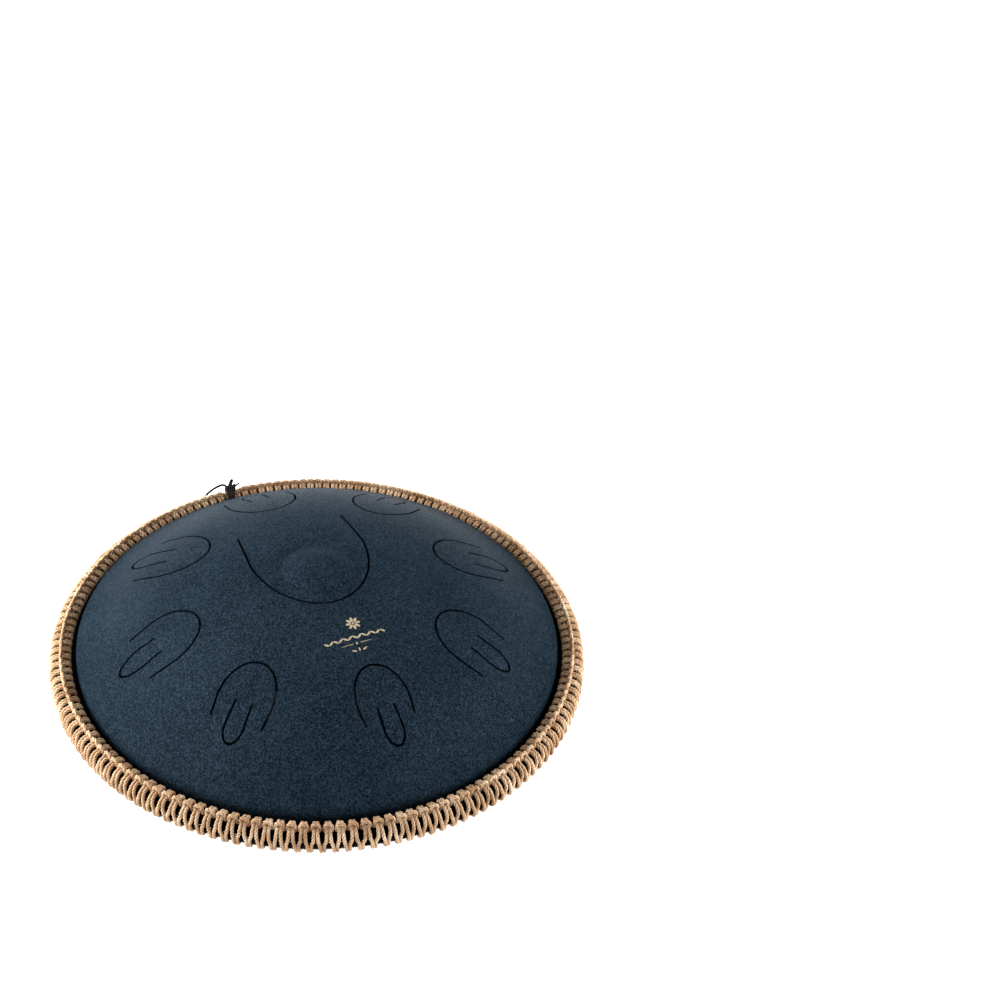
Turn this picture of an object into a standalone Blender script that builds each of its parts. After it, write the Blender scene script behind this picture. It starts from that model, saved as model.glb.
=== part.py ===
"""A handpan of the steel tongue kind: two formed steel shells, a roped rim and three rubber feet.

Metres, +Z up. The origin is on the drum's axis, on the ground under its feet, and -Y faces the player.
Outlines are worked out as (radius, height) pairs, with heights measured from the middle plane of the rim.
"""
import math

import bmesh
import bpy
from mathutils import Matrix, Vector

MM = 0.001
GAP = 0.3 * MM  # clearance between pieces that touch
MERGE = 0.00001
SEGMENTS = 48  # round the drum, the same on every ring so that facets stay parallel

# Shells
STEEL = 1.5 * MM
FLANGE_RADIUS = 199.0 * MM
WALL_RADIUS = 184.2 * MM
WALL_HEIGHT = 9.6 * MM
WALL_BEND = 7.5 * MM
FLANGE_FILLET = 2.5 * MM
BOND_THICKNESS = 1.0 * MM
FLANGE_UNDERSIDE = BOND_THICKNESS / 2 + GAP
FLANGE_FACE = FLANGE_UNDERSIDE + STEEL

FLANK_RADIUS = 834.0 * MM
FLANK_END = 149.8 * MM
SHOULDER_RADIUS = 223.0 * MM
CROWN_EDGE = math.radians(5.0)  # slope where the shoulder meets the middle
TOP_SLOPE = math.radians(39.2)  # slope where the flank meets the wall's bend
BOTTOM_SLOPE = math.radians(34.5)

# Centre dome and sound port
DOME_RADIUS = 28.0 * MM
DOME_HEIGHT = 10.5 * MM
DOME_FILLET = 2.5 * MM
PORT_RADIUS = 43.0 * MM
PORT_BEND = 4.0 * MM
PORT_NECK = 8.0 * MM

# Notes, each two facing U-shaped slits: compass angle, then each U's tip, ends and half width in millimetres
SLIT = 1.0 * MM
NOTES = (
    (0.0, (97.0, 145.5, 22.5), (159.0, 128.0, 8.2)),
    (43.0, (95.0, 142.5, 24.2), (156.0, 126.0, 8.1)),
    (89.0, (95.0, 142.5, 26.5), (156.0, 126.0, 8.1)),
    (134.6, (91.5, 144.0, 25.6), (156.0, 123.0, 8.4)),
    (180.5, (96.0, 143.5, 23.2), (159.0, 128.0, 8.4)),
    (222.7, (96.0, 139.2, 21.7), (153.0, 125.0, 7.4)),
    (270.8, (96.8, 136.2, 20.4), (153.0, 127.0, 7.3)),
    (315.3, (96.5, 142.5, 23.6), (155.0, 126.0, 7.8)),
)
OUTER_SPRING, INNER_SPRING = 124.7 * MM, 142.0 * MM
OUTER_TOE, INNER_TOE = 0.94, 0.89  # width at a U's ends over its full width
DING_ANGLE = math.radians(88.1)
DING = (-36.5, 63.5, 44.9)
DING_SPRING, DING_TOE = 25.8 * MM, 0.93

OUTER_STEPS, INNER_STEPS, DING_STEPS = 9, 5, 13  # odd, so that no corner falls on a facet's edge

# Rope and hoops
ROPE_RADIUS = 205.6 * MM
ROPE_INNER_RADIUS = 187.0 * MM
ROPE_LOWER_INNER_RADIUS = 194.4 * MM
ROPE_HALF_HEIGHT = 11.0 * MM
ROPE_CORNER = 6.0 * MM
ROPE_LIP = 1.5 * MM
UPPER_HOOP = (191.5 * MM, 6.5 * MM, 1.2 * MM)  # radius round the drum, height, radius of the cord
LOWER_HOOP = (198.0 * MM, -6.4 * MM, 1.6 * MM)
BOND_INNER, BOND_OUTER = 187.5 * MM, 198.0 * MM

# Tie: the lace leans sideways as it crosses the rope, so each side is given at two radii
TIE_ANGLE = math.radians(89.4)
TIE_NEAR = (186.0 * MM, 2.4 * MM, 3.2 * MM)  # radius, offset of the lace's middle, half its width
TIE_FAR = (204.0 * MM, -2.9 * MM, 4.6 * MM)
TIE_TOP = 13.0 * MM
TIE_THICKNESS = 2.2 * MM
TIE_LEG_INNER = 184.6 * MM
TIE_LEG_END = 5.0 * MM
KNOT_ANGLE = math.radians(88.6)
KNOT_PLACE = (208.4 * MM, 2.0 * MM)
KNOT_SIZE = (2.4 * MM, 3.4 * MM, 2.8 * MM)
THICK_END, THIN_END = 2.0 * MM, 1.0 * MM
TAIL_DIAMETER = 1.8 * MM
TAIL_POINTS = 19
TAIL_ROUTE = (  # millimetres and degrees: radius, compass angle, height above the rim
    (208.3, 89.06, 5.8),
    (208.2, 89.62, 8.3),
    (208.2, 90.20, 9.0),
    (208.2, 90.90, 8.7),
    (208.2, 91.90, 7.6),
    (208.2, 93.00, 5.7),
    (208.3, 93.90, 3.2),
    (208.5, 94.60, -1.0),
    (208.6, 95.00, -7.5),
    (208.4, 95.15, -14.5),
)
THICK_ROUTE = ((208.2, 88.5, 3.0), (207.5, 88.4, 6.5), (206.9, 88.15, 10.5), (206.4, 87.9, 13.6))
THIN_ROUTE = ((208.0, 88.4, 3.0), (207.0, 87.4, 5.4), (206.4, 86.2, 8.6))

# Feet
FOOT_ANGLES = (90.0, 210.0, 330.0)
FOOT_CIRCLE = 84.0 * MM
FOOT_RADIUS = 11.0 * MM
FOOT_FLARE = 1.0 * MM
FOOT_HEIGHT = 9.5 * MM
FOOT_EDGE = 1.2 * MM
FOOT_SIDES = 24

MATERIALS = {  # colour, metallic, roughness
    "top_coat": ((0.035, 0.055, 0.080), 0.3, 0.45),
    "bottom_coat": ((0.030, 0.045, 0.065), 0.3, 0.50),
    "seal": ((0.03, 0.03, 0.03), 0.0, 0.7),
    "rope": ((0.55, 0.40, 0.24), 0.0, 0.9),
    "hoop_cord": ((0.03, 0.02, 0.015), 0.0, 0.8),
    "lace": ((0.02, 0.01, 0.008), 0.0, 0.6),
    "foot_rubber": ((0.02, 0.02, 0.02), 0.0, 0.75),
}


def remove_everything():
    """Clear the scene that Blender opened with."""
    for thing in list(bpy.data.objects):
        bpy.data.objects.remove(thing, do_unlink=True)


def new_collection(name):
    """A collection under the scene."""
    collection = bpy.data.collections.new(name)
    bpy.context.scene.collection.children.link(collection)
    return collection


def new_material(name):
    """A Principled material from the table."""
    colour, metallic, roughness = MATERIALS[name]
    material = bpy.data.materials.new(name)
    material.use_nodes = True
    shader = material.node_tree.nodes["Principled BSDF"]
    shader.inputs["Base Color"].default_value = (*colour, 1.0)
    shader.inputs["Metallic"].default_value = metallic
    shader.inputs["Roughness"].default_value = roughness
    return material


def new_object(name, data, collection, material=None):
    """An object in a collection, with a material if it is a piece."""
    thing = bpy.data.objects.new(name, data)
    collection.objects.link(thing)
    if material:
        data.materials.append(material)
    return thing


def as_cutter(thing):
    """Mark an object as one that only cuts or joins others."""
    thing.hide_render = True
    thing.display_type = "WIRE"
    return thing


def polar(radius, degrees, height):
    """A point from its radius, compass angle and height."""
    angle = math.radians(degrees)
    return Vector((radius * math.cos(angle), radius * math.sin(angle), height))


def arc(centre, radius, start, end, steps):
    """Points on an arc, angles in radians, both ends included."""
    turns = [start + (end - start) * step / steps for step in range(steps + 1)]
    return [(centre[0] + radius * math.cos(a), centre[1] + radius * math.sin(a)) for a in turns]


def half_outline(slope, crown_steps, crown_inner):
    """A shell's outer face from its flange's edge to crown_inner, height positive away from the rim.

    A flat flange, a short upright wall, a nearly straight flank, a wide round shoulder and an almost flat
    middle, each tangent to the next.
    """
    points = [(FLANGE_RADIUS, FLANGE_FACE)]
    fillet_centre = (WALL_RADIUS + FLANGE_FILLET, FLANGE_FACE + FLANGE_FILLET)
    points += arc(fillet_centre, FLANGE_FILLET, math.radians(270), math.radians(180), 2)
    turn = math.pi / 2 - slope
    points += arc((WALL_RADIUS - WALL_BEND, WALL_HEIGHT), WALL_BEND, 0.0, turn, 3)
    radius, height = points.pop()
    centre = (radius - FLANK_RADIUS * math.cos(turn), height - FLANK_RADIUS * math.sin(turn))
    shoulder = math.acos((FLANK_END - centre[0]) / FLANK_RADIUS)
    points += arc(centre, FLANK_RADIUS, turn, shoulder, 1)
    radius, height = points.pop()
    centre = (radius - SHOULDER_RADIUS * math.cos(shoulder), height - SHOULDER_RADIUS * math.sin(shoulder))
    points += arc(centre, SHOULDER_RADIUS, shoulder, math.pi / 2 - CROWN_EDGE, 4)
    radius, height = points.pop()
    crown_radius = radius / math.sin(CROWN_EDGE)
    crown_centre = (0.0, height - crown_radius * math.cos(CROWN_EDGE))
    crown_end = math.acos(crown_inner / crown_radius)
    points += arc(crown_centre, crown_radius, math.pi / 2 - CROWN_EDGE, crown_end, crown_steps)
    return points


def top_outline():
    """The top shell's outer face, from the tip of the centre dome down to the flange's edge."""
    points = half_outline(TOP_SLOPE, 1, DOME_RADIUS + DOME_FILLET)
    base = points[-1][1]
    cap_radius = (DOME_RADIUS**2 + DOME_HEIGHT**2) / (2 * DOME_HEIGHT)
    cap_edge = math.asin((DOME_RADIUS - DOME_FILLET) / cap_radius)
    cap_centre = (0.0, base + DOME_HEIGHT - cap_radius)
    points += arc(cap_centre, cap_radius, math.pi / 2 - cap_edge, math.pi / 2, 4)
    points[-1] = (0.0, points[-1][1])
    return points[::-1]


def bottom_outline():
    """The bottom shell's outer face, from the flange's edge to the inner end of the port's neck."""
    points = half_outline(BOTTOM_SLOPE, 1, PORT_RADIUS + PORT_BEND)
    radius, height = points.pop()
    points += arc((radius, height - PORT_BEND), PORT_BEND, math.pi / 2, math.pi, 2)
    points.append((PORT_RADIUS, height - PORT_BEND - PORT_NECK))
    return [(radius, -height) for radius, height in points]


def bottom_depth():
    """How far the bottom shell's outer face would reach below the rim, at the feet's circle."""
    points = half_outline(BOTTOM_SLOPE, 1, PORT_RADIUS + PORT_BEND)
    (outer, low), (inner, high) = next(
        (far, near) for far, near in zip(points, points[1:]) if near[0] <= FOOT_CIRCLE <= far[0]
    )
    return low + (high - low) * (outer - FOOT_CIRCLE) / (outer - inner)


RIM_Z = bottom_depth() + FOOT_HEIGHT


def outline_mesh(name, points, closed=False):
    """A mesh of edges in the XZ plane, at its true height."""
    mesh = bpy.data.meshes.new(name)
    edges = [(i, i + 1) for i in range(len(points) - 1)]
    if closed:
        edges.append((len(points) - 1, 0))
    mesh.from_pydata([(radius, 0.0, height + RIM_Z) for radius, height in points], edges, [])
    return mesh


def add_screw(thing, steps=SEGMENTS):
    """Turn an outline round the Z axis."""
    screw = thing.modifiers.new("turn", "SCREW")
    screw.steps = steps
    screw.render_steps = steps
    screw.use_merge_vertices = True
    screw.merge_threshold = MERGE
    screw.use_smooth_shade = True


def add_solidify(thing, thickness, offset):
    """Give a surface its thickness; offset -1 puts it all behind the face."""
    solidify = thing.modifiers.new("thickness", "SOLIDIFY")
    solidify.thickness = thickness
    solidify.offset = offset
    solidify.use_even_offset = True


def add_boolean(thing, other, operation="DIFFERENCE"):
    """Cut a piece with another object, or join that object to it."""
    boolean = thing.modifiers.new(operation.lower(), "BOOLEAN")
    boolean.operation = operation
    boolean.solver = "EXACT"
    boolean.object = other


def u_path(size, spring, toe, steps):
    """A U in the plane, as (along, across): half an ellipse round the tip, then two straight legs."""
    tip, end, half_width = (length * MM for length in size)
    turns = [math.pi * step / steps for step in range(steps + 1)]
    bow = [(spring + (tip - spring) * math.sin(a), half_width * math.cos(a)) for a in turns]
    return [(end, half_width * toe)] + bow + [(end, -half_width * toe)]


def add_slit(mesh, path, turn, low, high):
    """Add one upright ribbon along a path, turned to its place on the drum."""
    place = Matrix.Rotation(turn, 3, "Z")
    columns = [
        [mesh.verts.new(place @ Vector((along, across, z))) for z in (low, high)]
        for along, across in path
    ]
    for near, far in zip(columns, columns[1:]):
        mesh.faces.new((near[0], far[0], far[1], near[1]))


def make_slit_cutter(collection):
    """Every tongue's outline as thin upright walls, which cut the slits."""
    ribbon = bmesh.new()
    low = RIM_Z + WALL_HEIGHT + WALL_BEND
    high = RIM_Z + ROPE_RADIUS
    for degrees, outer, inner in NOTES:
        turn = math.radians(degrees)
        add_slit(ribbon, u_path(outer, OUTER_SPRING, OUTER_TOE, OUTER_STEPS), turn, low, high)
        add_slit(ribbon, u_path(inner, INNER_SPRING, INNER_TOE, INNER_STEPS), turn, low, high)
    add_slit(ribbon, u_path(DING, DING_SPRING, DING_TOE, DING_STEPS), DING_ANGLE, low, high)
    mesh = bpy.data.meshes.new("slit_cutter")
    ribbon.to_mesh(mesh)
    ribbon.free()
    cutter = as_cutter(new_object("slit_cutter", mesh, collection))
    add_solidify(cutter, SLIT, 0.0)
    return cutter


def make_top_shell(parts, cutters, materials):
    """The top shell, with its dome and the slits of all nine notes."""
    shell = new_object("top_shell", outline_mesh("top_shell", top_outline()), parts, materials["top_coat"])
    add_screw(shell)
    add_solidify(shell, STEEL, -1.0)
    add_boolean(shell, make_slit_cutter(cutters))


def make_bottom_shell(parts, materials):
    """The bottom shell, with its rolled sound port."""
    mesh = outline_mesh("bottom_shell", bottom_outline())
    shell = new_object("bottom_shell", mesh, parts, materials["bottom_coat"])
    add_screw(shell)
    add_solidify(shell, STEEL, -1.0)


def make_rim_bond(parts, materials):
    """The flat ring that bonds the two flanges."""
    half = BOND_THICKNESS / 2
    section = [(BOND_INNER, half), (BOND_OUTER, half), (BOND_OUTER, -half), (BOND_INNER, -half)]
    bond = new_object("rim_bond", outline_mesh("rim_bond", section, True), parts, materials["seal"])
    add_screw(bond)


def rope_outline():
    """The rope's section: a C open towards the shells, with room for the flanges and both hoops."""
    corner = (ROPE_RADIUS - ROPE_CORNER, ROPE_HALF_HEIGHT - ROPE_CORNER)
    outside = [(ROPE_INNER_RADIUS, ROPE_HALF_HEIGHT - ROPE_LIP)]
    outside.append((ROPE_INNER_RADIUS + ROPE_LIP, ROPE_HALF_HEIGHT))
    outside += arc(corner, ROPE_CORNER, math.pi / 2, 0.0, 3)
    outside += arc((corner[0], -corner[1]), ROPE_CORNER, 0.0, -math.pi / 2, 3)
    outside.append((ROPE_LOWER_INNER_RADIUS + ROPE_LIP, -ROPE_HALF_HEIGHT))
    outside.append((ROPE_LOWER_INNER_RADIUS, -ROPE_HALF_HEIGHT + ROPE_LIP))
    upper_side, upper_top = (UPPER_HOOP[i] + UPPER_HOOP[2] + GAP for i in (0, 1))
    lower_side = LOWER_HOOP[0] + LOWER_HOOP[2] + GAP
    lower_bottom = LOWER_HOOP[1] - LOWER_HOOP[2] - GAP
    shelf = FLANGE_FACE + GAP
    inside = [(ROPE_LOWER_INNER_RADIUS, lower_bottom), (lower_side, lower_bottom), (lower_side, shelf)]
    return outside + inside + [(upper_side, shelf), (upper_side, upper_top), (ROPE_INNER_RADIUS, upper_top)]


def make_hoop(name, size, parts, materials):
    """A round hoop cord that the rope's knots are looped over."""
    radius, height, tube = size
    section = arc((radius, height), tube, 2 * math.pi, 0.0, 6)[:-1]
    hoop = new_object(name, outline_mesh(name, section, True), parts, materials["hoop_cord"])
    add_screw(hoop)


def wrap_outline(grow):
    """The lace's section round the rope, made larger by grow on every side."""
    corner = (ROPE_RADIUS - ROPE_CORNER, TIE_TOP - ROPE_CORNER)
    outside = [(TIE_LEG_INNER - grow, TIE_LEG_END - grow), (TIE_LEG_INNER - grow, TIE_TOP - ROPE_LIP)]
    outside.append((TIE_LEG_INNER + ROPE_LIP - grow, TIE_TOP + grow))
    outside += arc(corner, ROPE_CORNER + grow, math.pi / 2, 0.0, 4)
    inside_radius = ROPE_CORNER - TIE_THICKNESS - grow
    leg_outer = ROPE_INNER_RADIUS - 2 * GAP + grow
    inside = arc(corner, inside_radius, 0.0, math.pi / 2, 4)
    inside.append((leg_outer, TIE_TOP - TIE_THICKNESS - grow))
    inside.append((leg_outer, TIE_LEG_END - grow))
    lower_outside = [(radius, -height) for radius, height in outside[::-1]]
    lower_inside = [(radius, -height) for radius, height in inside[::-1]]
    return outside + lower_outside + lower_inside + inside


def wrap_side(radius, side, grow):
    """How far to the side one edge of the lace's turns lies, at a radius."""
    share = (radius - TIE_NEAR[0]) / (TIE_FAR[0] - TIE_NEAR[0])
    middle = TIE_NEAR[1] + share * (TIE_FAR[1] - TIE_NEAR[1])
    half_width = TIE_NEAR[2] + share * (TIE_FAR[2] - TIE_NEAR[2])
    return middle + side * (half_width + grow)


def make_wrap(name, grow, collection, material=None):
    """The lace's turns round the rope as one leaning C-shaped piece, or the room they need."""
    outline = wrap_outline(grow)
    band = bmesh.new()
    near, far = [
        [band.verts.new((radius, wrap_side(radius, side, grow), height + RIM_Z)) for radius, height in outline]
        for side in (-1, 1)
    ]
    band.faces.new(near)
    band.faces.new(far[::-1])
    for index in range(len(outline)):
        after = (index + 1) % len(outline)
        band.faces.new((near[after], near[index], far[index], far[after]))
    bmesh.ops.recalc_face_normals(band, faces=band.faces[:])
    mesh = bpy.data.meshes.new(name)
    band.to_mesh(mesh)
    band.free()
    wrap = new_object(name, mesh, collection, material)
    wrap.rotation_euler.z = TIE_ANGLE
    return wrap


def make_rope(parts, cutters, materials):
    """The knotted rope as a plain band, pulled in where the lace is tied round it."""
    mesh = outline_mesh("rope_lacing", rope_outline(), True)
    rope = new_object("rope_lacing", mesh, parts, materials["rope"])
    add_screw(rope)
    add_boolean(rope, as_cutter(make_wrap("tie_room", GAP, cutters)))


def smooth_route(route, count):
    """Evenly numbered points on a Catmull-Rom curve through a route's own points."""
    knots = [polar(radius * MM, degrees, RIM_Z + height * MM) for radius, degrees, height in route]
    padded = [2 * knots[0] - knots[1]] + knots + [2 * knots[-1] - knots[-2]]
    points = []
    for index in range(count):
        place = index * (len(knots) - 1) / (count - 1)
        span = min(int(place), len(knots) - 2)
        t = place - span
        a, b, c, d = padded[span : span + 4]
        bend = 2 * a - 5 * b + 4 * c - d
        points.append(b + 0.5 * t * ((c - a) + t * (bend + t * (3 * (b - c) + d - a))))
    return points


def make_cord(name, points, diameter, collection, material=None):
    """A round cord along its points."""
    curve = bpy.data.curves.new(name, "CURVE")
    curve.dimensions = "3D"
    curve.bevel_depth = diameter / 2
    curve.bevel_resolution = 2
    curve.use_fill_caps = True
    spline = curve.splines.new("POLY")
    spline.points.add(len(points) - 1)
    for vertex, point in zip(spline.points, points):
        vertex.co = (*point, 1.0)
    return new_object(name, curve, collection, material)


def cord_to_mesh(cord, collection):
    """Replace a curve by its own welded mesh."""
    bpy.context.view_layer.update()
    evaluated = cord.evaluated_get(bpy.context.evaluated_depsgraph_get())
    mesh = bpy.data.meshes.new_from_object(evaluated)
    weld = bmesh.new()
    weld.from_mesh(mesh)
    bmesh.ops.remove_doubles(weld, verts=weld.verts[:], dist=MERGE)
    weld.to_mesh(mesh)
    weld.free()
    name = cord.name
    place = cord.matrix_world.copy()
    bpy.data.objects.remove(cord)
    thing = as_cutter(new_object(name, mesh, collection))
    thing.matrix_world = place
    return thing


def make_tie(parts, cutters, materials):
    """The lace: its turns round the rope, its knot with two short ends, and its long tail."""
    make_wrap("tie_wrap", 0.0, parts, materials["lace"])
    bpy.ops.mesh.primitive_uv_sphere_add(segments=14, ring_count=10, radius=1.0)
    knot = bpy.context.object
    knot.name = "tie_knot"
    for holder in list(knot.users_collection):
        holder.objects.unlink(knot)
    parts.objects.link(knot)
    place = polar(KNOT_PLACE[0], math.degrees(KNOT_ANGLE), KNOT_PLACE[1] + RIM_Z)
    turn = Matrix.Rotation(KNOT_ANGLE, 4, "Z")
    knot.data.transform(Matrix.Translation(place) @ turn @ Matrix.Diagonal((*KNOT_SIZE, 1.0)))
    knot.data.materials.append(materials["lace"])
    for name, route, diameter in (("thick_end", THICK_ROUTE, THICK_END), ("thin_end", THIN_ROUTE, THIN_END)):
        cord = make_cord(name, smooth_route(route, 5), diameter, cutters)
        add_boolean(knot, cord_to_mesh(cord, cutters), "UNION")
    make_cord("tie_tail", smooth_route(TAIL_ROUTE, TAIL_POINTS), TAIL_DIAMETER, parts, materials["lace"])


def make_foot_seat(collection):
    """Everything above the face that the feet stick to, as a cutter."""
    face = half_outline(BOTTOM_SLOPE, 1, PORT_RADIUS + PORT_BEND)
    under = [(radius, -height - GAP) for radius, height in face if height > WALL_HEIGHT + WALL_BEND]
    rim = under[0][0]
    hole = under[-1][0]
    mesh = outline_mesh("foot_seat", under + [(hole, 0.0), (rim, 0.0)], True)
    seat = as_cutter(new_object("foot_seat", mesh, collection))
    add_screw(seat)
    return seat


def make_feet(parts, cutters, materials):
    """Three round rubber feet, their tops shaped to the shell."""
    seat = make_foot_seat(cutters)
    top = -RIM_Z + FOOT_HEIGHT + FOOT_EDGE * 2
    section = [
        (0.0, top),
        (FOOT_RADIUS, top),
        (FOOT_RADIUS, -RIM_Z + FOOT_HEIGHT),
        (FOOT_RADIUS - FOOT_FLARE, -RIM_Z + FOOT_EDGE),
        (FOOT_RADIUS - FOOT_FLARE - FOOT_EDGE, -RIM_Z),
        (0.0, -RIM_Z),
    ]
    for number, degrees in enumerate(FOOT_ANGLES, 1):
        name = f"foot_{number}"
        foot = new_object(name, outline_mesh(name, section), parts, materials["foot_rubber"])
        foot.location = polar(FOOT_CIRCLE, degrees, 0.0)
        add_screw(foot, FOOT_SIDES)
        add_boolean(foot, seat)


def main():
    """Build every piece of the drum."""
    remove_everything()
    parts = new_collection("handpan")
    cutters = new_collection("cutters")
    materials = {name: new_material(name) for name in MATERIALS}
    make_top_shell(parts, cutters, materials)
    make_bottom_shell(parts, materials)
    make_rim_bond(parts, materials)
    make_rope(parts, cutters, materials)
    make_hoop("upper_hoop", UPPER_HOOP, parts, materials)
    make_hoop("lower_hoop", LOWER_HOOP, parts, materials)
    make_tie(parts, cutters, materials)
    make_feet(parts, cutters, materials)


main()
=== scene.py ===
import math
import random

import bmesh
import bpy
import numpy as np
from mathutils import Matrix, Vector


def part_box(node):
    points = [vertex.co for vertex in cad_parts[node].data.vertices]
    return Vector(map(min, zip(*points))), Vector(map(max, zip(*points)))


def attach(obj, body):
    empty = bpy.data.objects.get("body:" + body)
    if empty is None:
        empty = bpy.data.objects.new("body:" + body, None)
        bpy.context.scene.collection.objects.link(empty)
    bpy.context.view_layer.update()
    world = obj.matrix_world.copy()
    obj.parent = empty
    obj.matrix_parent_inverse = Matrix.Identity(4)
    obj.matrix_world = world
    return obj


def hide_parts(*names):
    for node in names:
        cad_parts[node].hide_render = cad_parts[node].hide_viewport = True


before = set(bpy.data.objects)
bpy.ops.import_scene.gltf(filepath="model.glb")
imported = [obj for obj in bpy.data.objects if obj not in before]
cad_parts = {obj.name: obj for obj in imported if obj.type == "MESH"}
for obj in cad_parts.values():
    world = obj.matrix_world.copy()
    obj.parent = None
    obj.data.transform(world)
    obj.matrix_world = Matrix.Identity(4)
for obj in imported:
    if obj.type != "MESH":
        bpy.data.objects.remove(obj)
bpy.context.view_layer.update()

# The looks of a roped steel tongue handpan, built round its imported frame. Metres, +Z up, -Y faces the player.
# Outlines and routes are in millimetres, as (radius, height above the rim's middle plane).

MM = 0.001
RIM_Z = sum(corner.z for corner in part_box("rim_bond")) / 2
ROPE_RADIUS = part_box("rope_lacing")[1].x / MM
FLANGE_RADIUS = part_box("top_shell")[1].x / MM
FLANGE_UNDERSIDE = (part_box("top_shell")[0].z - RIM_Z) / MM
FEET = [sum(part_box(f"foot_{n}"), Vector()) / 2 for n in (1, 2, 3)]

# Camera and lights
CAMERA_AZIMUTH, CAMERA_ELEVATION, CAMERA_ROLL = -26.66, 39.43, -2.91
CAMERA_DISTANCE = 2.3565
CAMERA_TARGET = Vector((0.2076, 0.1148, RIM_Z))
CAMERA_LENS, CAMERA_SENSOR = 103.06, 36.0
LIGHT_DISTANCE = 1.8

# Floor: painted shade darkens it under the drum, so that nothing bright shows up through the port and the slits
FLOOR_REACH = 6.0
FLOOR_PAINTED_SHADE, FLOOR_GLOW = (0.055, 0.10), (0.06, 0.12)  # radii in metres, from dark to full

# Shells
STEEL = 1.5
WALL_RADIUS, WALL_HEIGHT, WALL_BEND, FLANGE_FILLET = 184.2, 9.6, 7.5, 2.5
FLANK_RADIUS, FLANK_END, SHOULDER_RADIUS, CROWN_EDGE = 834.0, 149.8, 223.0, 5.0
TOP_SLOPE, BOTTOM_SLOPE = 39.2, 34.5
DOME_RADIUS, DOME_HEIGHT, DOME_BLEND = 28.0, 10.4, 5.0
PORT_RADIUS, PORT_BEND, PORT_NECK = 43.0, 4.0, 8.0
SHELL_SEGMENTS = 192

# Notes, each two facing U-shaped slits: compass angle, then each U's tip, ends and half width
SLIT = 1.6
NOTES = (
    (0.0, (97.0, 145.5, 22.5), (159.0, 128.0, 8.2)),
    (43.0, (95.0, 142.5, 24.2), (156.0, 126.0, 8.1)),
    (89.0, (95.0, 142.5, 26.5), (156.0, 126.0, 8.1)),
    (134.6, (91.5, 144.0, 25.6), (156.0, 123.0, 8.4)),
    (180.5, (96.0, 143.5, 23.2), (159.0, 128.0, 8.4)),
    (222.7, (96.0, 139.2, 21.7), (153.0, 125.0, 7.4)),
    (270.8, (96.8, 136.2, 20.4), (153.0, 127.0, 7.3)),
    (315.3, (96.5, 142.5, 23.6), (155.0, 126.0, 7.8)),
)
OUTER_SPRING, INNER_SPRING = 124.7, 142.0
OUTER_TOE, INNER_TOE = 0.94, 0.89
DING_ANGLE, DING, DING_SPRING, DING_TOE = 88.1, (-36.5, 63.5, 44.9), 25.8, 0.93

# Rope and hoops: a strand of three plies that turn once in every LAY, with grooves GROOVE of its radius deep
KNOTS = 158
STRAND = 2.95
LAY = 8.0
GROOVE = 0.28
ROPE_STEP = 0.8
STRAND_SIDES = 12
ROPE_PIECES = 10
WIDE_SIDE, WIDENING = 245.0, 0.13  # the compass angle at which the knots are widest, and by how much
# The lower hoop is a real dark cord; drawn thicker than in model.glb, it also fills the gaps between the rope's
# legs as painted shade
UPPER_HOOP, LOWER_HOOP = (191.5, 6.5, 1.2), (199.5, -5.3, 2.9)  # radius, height, the cord's own radius

# Tie: the lace leans sideways as it crosses the rope
TIE_ANGLE = 89.4
TIE_NEAR, TIE_FAR = (186.0, 2.4, 3.2), (204.0, -2.9, 4.6)  # radius, offset of the middle, half width
TIE_TOP, TIE_CORNER, TIE_INSIDE = 13.0, 6.0, 184.65
LACE = 2.3
TIE_TURNS = 4
THICK_END, THIN_END = 2.9, 1.4
TAIL_DIAMETER = 1.8
TAIL_ROUTE = (  # radius, compass angle, height above the rim
    (208.3, 89.06, 5.8),
    (208.2, 89.62, 8.3),
    (208.2, 90.20, 9.0),
    (208.2, 90.90, 8.7),
    (208.2, 91.90, 7.6),
    (208.2, 93.00, 5.7),
    (208.3, 93.90, 3.2),
    (208.5, 94.60, -1.0),
    (208.6, 95.00, -7.5),
    (208.4, 95.15, -14.5),
)
THICK_ROUTE = ((208.2, 88.5, 3.0), (207.5, 88.4, 6.5), (206.9, 88.15, 10.5), (206.4, 87.9, 13.6))
THIN_ROUTE = ((208.0, 88.4, 3.0), (207.0, 87.4, 5.4), (206.4, 86.2, 8.6))
KNOT_ANGLE, KNOT_PLACE, KNOT_REACH = 88.6, (208.4, 2.0), (2.3, 3.3, 2.7)  # reach: out, across, up

# Ornament, as (across, towards the back) on the crown
PRINT_FILM = 0.08
ROSETTE, ROSETTE_RADIUS, ROSETTE_LEAVES = (3.4, -60.5), 3.6, 8
GARLAND_ROW, GARLAND_PITCH, GARLAND_TILT = -72.2, 3.7, 38
STROKE_ROW, SPRIG_ROW, PRINT_MIDDLE = -77.6, -83.2, -0.5

random.seed(7)


# ---------------------------------------------------------------- camera, floor and light


def add_camera():
    """The camera looks down at the drum from in front and to its right, rolled slightly."""
    elevation, roll = math.radians(CAMERA_ELEVATION), math.radians(CAMERA_ROLL)
    back = Vector((0, -math.cos(elevation), math.sin(elevation)))
    up = Vector((0, math.sin(elevation), math.cos(elevation)))
    right = Vector((1, 0, 0))
    rolled_right = math.cos(roll) * right - math.sin(roll) * up
    rolled_up = math.sin(roll) * right + math.cos(roll) * up
    axes = Matrix((rolled_right, rolled_up, back)).transposed()
    turn = Matrix.Rotation(math.radians(CAMERA_AZIMUTH), 3, "Z")
    data = bpy.data.cameras.new("camera")
    data.lens, data.sensor_width = CAMERA_LENS, CAMERA_SENSOR
    camera = bpy.data.objects.new("camera", data)
    bpy.context.scene.collection.objects.link(camera)
    place = CAMERA_TARGET + turn @ (back * CAMERA_DISTANCE)
    camera.matrix_world = Matrix.Translation(place) @ (turn @ axes).to_4x4()
    bpy.context.scene.camera = camera


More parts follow.
